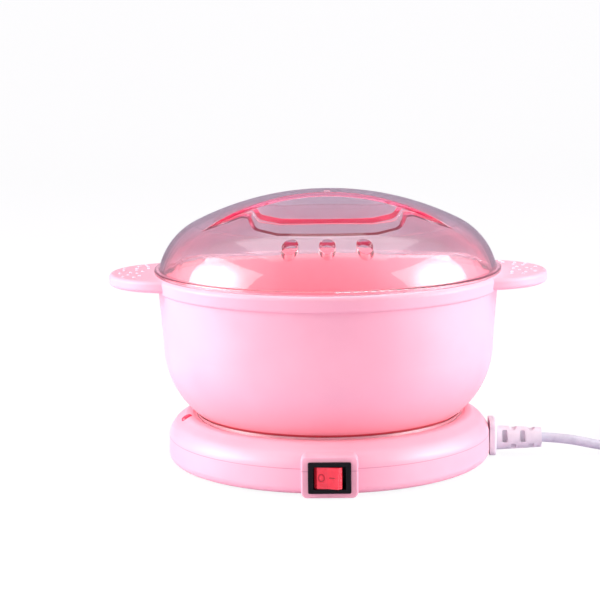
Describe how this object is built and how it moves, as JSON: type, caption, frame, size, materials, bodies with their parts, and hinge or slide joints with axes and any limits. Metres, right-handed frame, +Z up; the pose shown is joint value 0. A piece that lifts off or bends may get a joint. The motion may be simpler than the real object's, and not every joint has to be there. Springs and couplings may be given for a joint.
{
  "type": "wax warmer pot",
  "caption": "Tabletop wax warmer: round heating base with rocker switch, lift-out pot with side ears and a clear domed lid.",
  "frame": {"origin": "on the ground, on the vertical axis of the bowl and base", "axes": "+Z up, -Y towards the switch, +X towards the cord; the ears lie along X"},
  "size_m": [0.3499, 0.2053, 0.1422],
  "materials": {
    "clear_lid": "clear polished plastic with a faint pink cast",
    "pot_pink": "satin, soft to the touch",
    "case_pink": "satin gloss moulded plastic",
    "plate_metal": "spun, bright rim",
    "mica": "layered mica board",
    "steel": "zinc plated",
    "ceramic": "unglazed ceramic",
    "dark_resin": "phenolic resin",
    "brass": "tinned brass",
    "switch_black": "fine satin",
    "rocker_red": "translucent glossy",
    "lamp_red": "translucent glossy",
    "lamp_glass": "clear",
    "cord_white": "soft satin",
    "feet_rubber": "matt",
    "wire_white": "satin",
    "wire_brown": "satin",
    "wire_blue": "satin",
    "tie_white": "satin",
    "plug_metal": "nickel plated"
  },
  "bodies": {
    "base": {"base_upper_shell": "case_pink", "base_lower_shell": "case_pink", "heating_plate": "plate_metal", "heating_element": "mica", "element_clamp": "steel", "plate_studs": "steel", "clamp_nuts": "steel", "heat_shield": "steel", "shield_nuts": "steel", "shield_spacers": "ceramic", "thermostat_cap": "plate_metal", "thermostat_body": "dark_resin", "thermostat_terminals": "brass", "thermal_fuse": "steel", "fuse_clip": "steel", "switch_body": "switch_black", "switch_terminals": "brass", "indicator_lens": "lamp_red", "indicator_lamp": "lamp_glass", "strain_relief": "cord_white", "inner_cord": "cord_white", "cord_clamp": "cord_white", "clamp_screws": "steel", "terminal_block": "cord_white", "case_screws": "steel", "rubber_feet": "feet_rubber", "cord_cores": "wire_white", "live_wire": "wire_brown", "switched_wire": "wire_brown", "fuse_wire": "wire_brown", "heater_wire": "wire_brown", "neutral_wire": "wire_blue", "lamp_wires": "wire_white", "power_cord": "cord_white", "cord_tail": "cord_white", "cord_coil": "cord_white", "coil_tie": "tie_white", "plug_body": "cord_white", "plug_pins": "plug_metal"},
    "pot": {"pot": "pot_pink"},
    "lid": {"lid": "clear_lid"},
    "rocker": {"switch_rocker": "rocker_red"}
  },
  "joints": [
    {"name": "pot_lift", "type": "slide", "parent": "base", "child": "pot", "axis": [0, 0, 1], "range_m": [0, 0.12]},
    {"name": "lid_lift", "type": "slide", "parent": "pot", "child": "lid", "axis": [0, 0, 1], "range_m": [0, 0.1]},
    {"name": "rocker_switch", "type": "hinge", "parent": "base", "child": "rocker", "pos_m": [0, -0.084, 0.0113], "axis": [0, 0, 1], "range_deg": [0, 20]}
  ]
}
